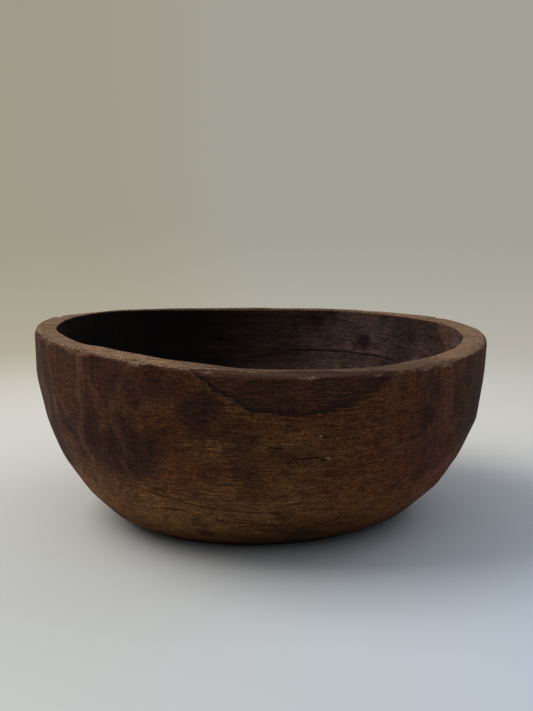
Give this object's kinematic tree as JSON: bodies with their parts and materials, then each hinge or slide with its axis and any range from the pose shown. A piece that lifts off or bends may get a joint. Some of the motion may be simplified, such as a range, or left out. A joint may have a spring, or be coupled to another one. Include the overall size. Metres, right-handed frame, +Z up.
{
  "type": "wooden bowl",
  "caption": "Wide round wooden bowl hewn from one block, with a thick wall, a flat foot, a wavy worn rim and adze marks inside and out.",
  "frame": {"origin": "on the table, under the middle of the bowl's bounding box", "axes": "+Z up out of the mouth; X along the grain, with the high end of the rim at -X; -Y is the front, the side with the low stretch of rim that faces the viewer"},
  "size_m": [0.3995, 0.3928, 0.1714],
  "materials": {
    "wood": "dark aged hardwood, dry and worn, with lighter brown rim and edges"
  },
  "bodies": {
    "root": {"bowl_body": "wood"}
  },
  "joints": []
}
